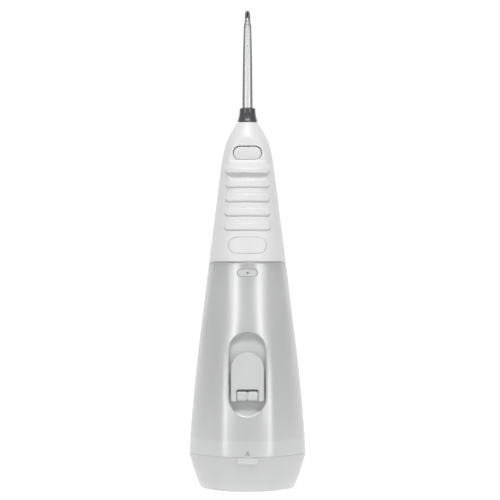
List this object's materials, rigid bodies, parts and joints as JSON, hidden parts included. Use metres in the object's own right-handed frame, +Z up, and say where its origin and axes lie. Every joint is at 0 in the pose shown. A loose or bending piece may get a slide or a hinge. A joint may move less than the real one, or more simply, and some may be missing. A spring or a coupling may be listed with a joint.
{
  "type": "water flosser",
  "caption": "Cordless water flosser with a translucent reservoir that has a hinged fill door, a ribbed handle, an eject button and a bent jet tip on a swivel collar.",
  "frame": {"origin": "centre of the flat base, on the surface that the flosser stands on", "axes": "+Z up along the body, -Y towards the back that carries the fill door, the grip ribs and the eject button, +Y towards the front that the jet points to"},
  "size_m": [0.07, 0.0608, 0.287],
  "materials": {
    "white_plastic": "satin white",
    "frosted_plastic": "frosted translucent grey",
    "inner_plastic": "moulded grey",
    "dark_plastic": "gloss dark grey",
    "clear_plastic": "clear",
    "seal_rubber": "matte",
    "steel": "plain",
    "brass": "plain",
    "cell_wrap": "heat-shrink film",
    "board": "solder mask"
  },
  "bodies": {
    "base": {"reservoir_base": "frosted_plastic", "base_seal": "seal_rubber", "base_tab": "frosted_plastic", "foot_ring": "seal_rubber"},
    "reservoir": {"reservoir_body": "frosted_plastic", "fill_port_frame": "frosted_plastic", "door_hinge_pin": "steel", "release_spring": "steel"},
    "door": {"fill_door": "frosted_plastic", "door_gasket": "seal_rubber"},
    "release": {"release_pad": "frosted_plastic"},
    "handle": {"handle_rear_shell": "white_plastic", "handle_front_shell": "white_plastic", "handle_base": "inner_plastic", "neck_gasket": "seal_rubber", "chassis_plate": "inner_plastic", "motor": "steel", "motor_screws": "steel", "pump_cylinder": "inner_plastic", "valve_block": "inner_plastic", "valve_discs": "seal_rubber", "suction_tube": "inner_plastic", "inlet_filter": "dark_plastic", "inlet_hose": "inner_plastic", "outlet_tube": "inner_plastic", "nozzle_seat": "inner_plastic", "collar_bush": "inner_plastic", "eject_spring": "steel", "battery_cell": "cell_wrap", "circuit_board": "board", "tact_switches": "dark_plastic", "led_window": "clear_plastic", "port_recess": "inner_plastic", "charge_socket": "steel"},
    "rotor": {"motor_pinion": "brass"},
    "crank": {"crank_gear": "inner_plastic"},
    "piston_group": {"piston": "inner_plastic", "piston_seal": "seal_rubber"},
    "collar": {"tip_collar": "dark_plastic"},
    "tip": {"jet_tip": "clear_plastic", "tip_oring": "seal_rubber"},
    "eject": {"eject_button": "white_plastic", "eject_latch": "inner_plastic"},
    "power": {"power_button": "white_plastic"},
    "mode": {"mode_button": "white_plastic"},
    "cover": {"port_cover": "white_plastic"}
  },
  "joints": [
    {"name": "base_unclip", "type": "slide", "parent": "base", "child": "reservoir", "axis": [0, 0, 1], "range_m": [0, 0.03]},
    {"name": "handle_lift", "type": "slide", "parent": "reservoir", "child": "handle", "axis": [0, 0, 1], "range_m": [0, 0.135]},
    {"name": "door_hinge", "type": "hinge", "parent": "reservoir", "child": "door", "pos_m": [0, -0.02554, 0.05677], "axis": [1, 0, 0], "range_deg": [0, 110]},
    {"name": "release_press", "type": "slide", "parent": "reservoir", "child": "release", "axis": [0, 1, 0], "range_m": [0, 0.0012], "stiffness_N_per_m": 900, "deforming": ["release_spring"]},
    {"name": "collar_turn", "type": "hinge", "parent": "handle", "child": "collar", "pos_m": [0, 0, 0.21], "axis": [0, 0, 1], "continuous": true},
    {"name": "tip_pull", "type": "slide", "parent": "collar", "child": "tip", "axis": [0, 0, 1], "range_m": [0, 0.035]},
    {"name": "eject_press", "type": "slide", "parent": "handle", "child": "eject", "axis": [0, 1, 0], "range_m": [0, 0.0018], "stiffness_N_per_m": 800, "deforming": ["eject_spring"]},
    {"name": "power_press", "type": "slide", "parent": "handle", "child": "power", "axis": [0, -1, 0], "range_m": [0, 0.0009], "stiffness_N_per_m": 900},
    {"name": "mode_press", "type": "slide", "parent": "handle", "child": "mode", "axis": [0, -1, 0], "range_m": [0, 0.0009], "stiffness_N_per_m": 900},
    {"name": "cover_pull", "type": "slide", "parent": "handle", "child": "cover", "axis": [0, -0.9963, 0.086], "range_m": [0, 0.003]},
    {"name": "crank_spin", "type": "hinge", "parent": "handle", "child": "crank", "pos_m": [0.0045, 0, 0.1665], "axis": [0, 0, 1], "continuous": true},
    {"name": "rotor_spin", "type": "hinge", "parent": "handle", "child": "rotor", "pos_m": [-0.005, 0, 0.1665], "axis": [0, 0, 1], "continuous": true},
    {"name": "piston_stroke", "type": "slide", "parent": "handle", "child": "piston_group", "axis": [1, 0, 0], "range_m": [-0.0025, 0.0025]}
  ],
  "couplings": [
    {"joint": "rotor_spin", "follows": "crank_spin", "ratio": -2.8}
  ]
}
